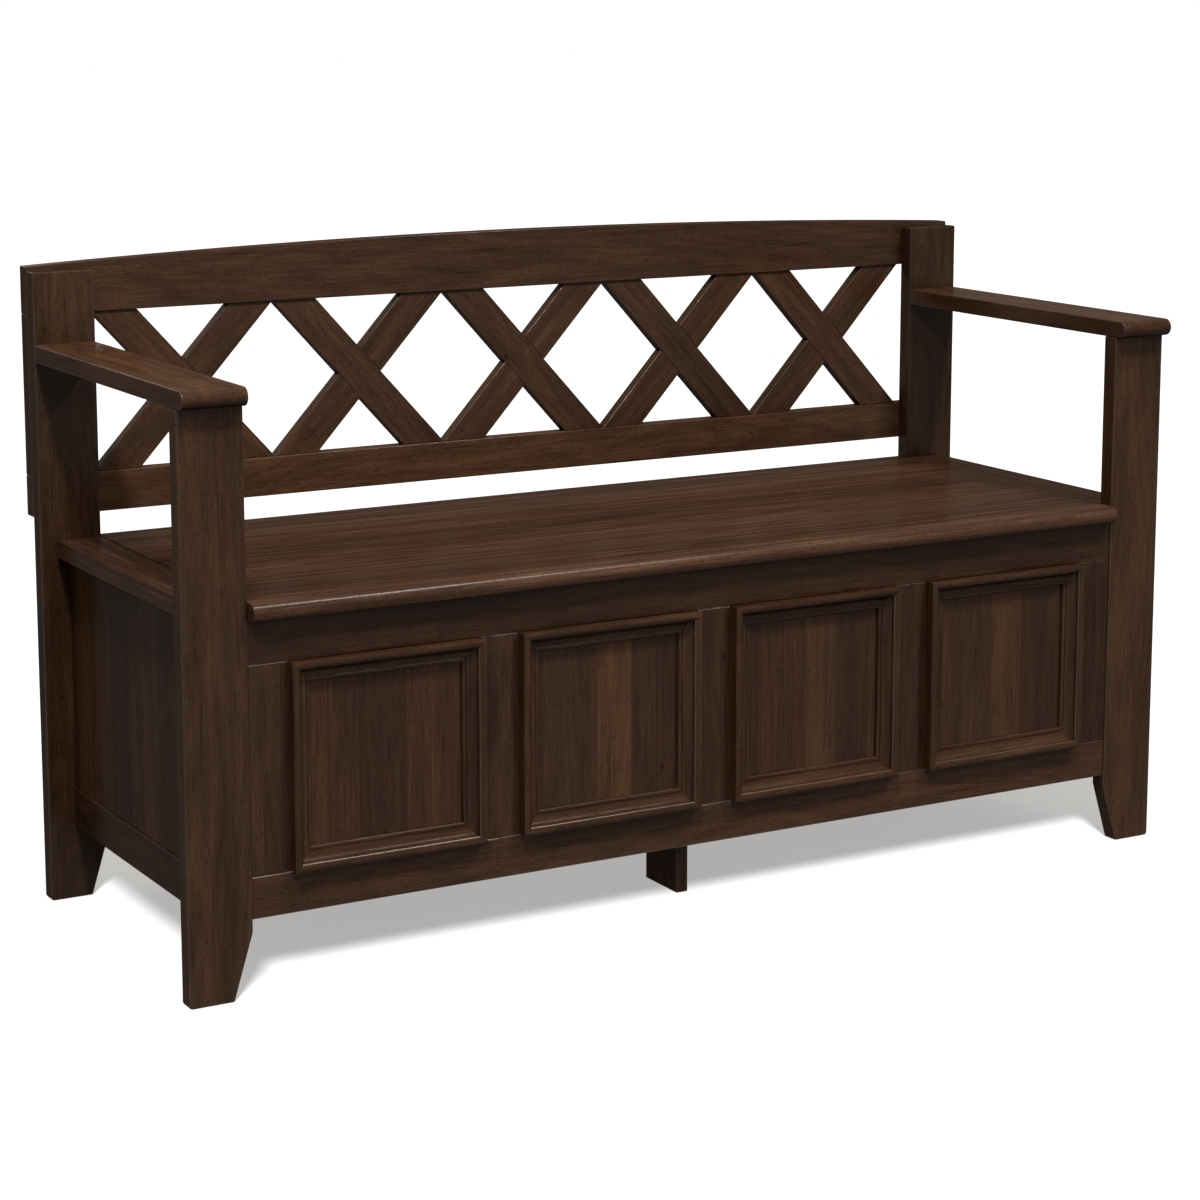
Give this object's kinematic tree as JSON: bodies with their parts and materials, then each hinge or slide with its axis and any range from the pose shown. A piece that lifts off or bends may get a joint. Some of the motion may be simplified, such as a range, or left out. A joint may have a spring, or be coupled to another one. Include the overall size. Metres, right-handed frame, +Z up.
{
  "type": "storage bench",
  "caption": "Entryway storage bench with arms, an arched lattice back, a moulded panel front and a hinged seat lid on two slotted stays.",
  "frame": {"origin": "middle of the bench on the floor: the bottom centre of its bounding box", "axes": "+X along the bench to the sitter's left, seen from the front to the right; +Y from the front to the back; +Z up"},
  "size_m": [1.27, 0.478, 0.746],
  "materials": {
    "frame_wood": "dark brown stained hardwood, satin lacquer",
    "panel_wood": "glued-up staves, dark brown stain, satin lacquer",
    "seat_wood": "glued-up boards, dark brown stain, satin lacquer",
    "inner_wood": "stained plywood and softwood, thin lacquer",
    "hinge_steel": "brushed zinc-plated steel",
    "stay_steel": "black powder-coated steel"
  },
  "bodies": {
    "root": {"front_leg_left": "frame_wood", "front_leg_right": "frame_wood", "back_post_left": "frame_wood", "back_post_right": "frame_wood", "arm_left": "frame_wood", "arm_right": "frame_wood", "crest_rail": "frame_wood", "lower_back_rail": "frame_wood", "back_stile_left": "frame_wood", "back_stile_right": "frame_wood", "slat_falling_1": "frame_wood", "slat_falling_2": "frame_wood", "slat_falling_3": "frame_wood", "slat_falling_4": "frame_wood", "slat_falling_5": "frame_wood", "slat_rising_1": "frame_wood", "slat_rising_2": "frame_wood", "slat_rising_3": "frame_wood", "slat_rising_4": "frame_wood", "slat_rising_5": "frame_wood", "apron": "frame_wood", "front_bottom_rail": "frame_wood", "front_stile_1": "frame_wood", "front_stile_2": "frame_wood", "front_stile_3": "frame_wood", "front_stile_4": "frame_wood", "front_stile_5": "frame_wood", "front_panel_1": "panel_wood", "front_panel_2": "panel_wood", "front_panel_3": "panel_wood", "front_panel_4": "panel_wood", "panel_moulding_1": "frame_wood", "panel_moulding_2": "frame_wood", "panel_moulding_3": "frame_wood", "panel_moulding_4": "frame_wood", "side_panel_left": "panel_wood", "side_panel_right": "panel_wood", "side_rail_left": "frame_wood", "side_rail_right": "frame_wood", "upper_side_rail_left": "inner_wood", "upper_side_rail_right": "inner_wood", "seat_strip_left": "seat_wood", "seat_strip_right": "seat_wood", "upper_rear_rail": "frame_wood", "lower_rear_rail": "frame_wood", "back_panel": "inner_wood", "bottom_panel": "inner_wood", "bottom_cleats": "inner_wood", "corner_blocks": "inner_wood", "centre_bearer": "inner_wood", "centre_foot": "frame_wood", "hinge_rail_leaves": "hinge_steel", "hinge_pins": "hinge_steel", "stay_studs": "stay_steel"},
    "lid": {"lid_panel": "seat_wood", "lid_battens": "inner_wood", "hinge_lid_leaves": "hinge_steel", "stay_brackets": "stay_steel"},
    "stay_left": {"stay_arm_left": "stay_steel"},
    "stay_right": {"stay_arm_right": "stay_steel"}
  },
  "joints": [
    {"name": "lid_hinge", "type": "hinge", "parent": "root", "child": "lid", "pos_m": [0, 0.2177, 0.40075], "axis": [-1, 0, 0], "range_deg": [0, 60]},
    {"name": "stay_left_pivot", "type": "hinge", "parent": "lid", "child": "stay_left", "pos_m": [-0.555, 0.06833, 0.387], "axis": [-1, 0, 0], "range_deg": [-30, 0]},
    {"name": "stay_right_pivot", "type": "hinge", "parent": "lid", "child": "stay_right", "pos_m": [0.555, 0.06833, 0.387], "axis": [-1, 0, 0], "range_deg": [-30, 0]}
  ],
  "couplings": [
    {"joint": "stay_left_pivot", "follows": "lid_hinge", "ratio": -0.5},
    {"joint": "stay_right_pivot", "follows": "lid_hinge", "ratio": -0.5}
  ]
}
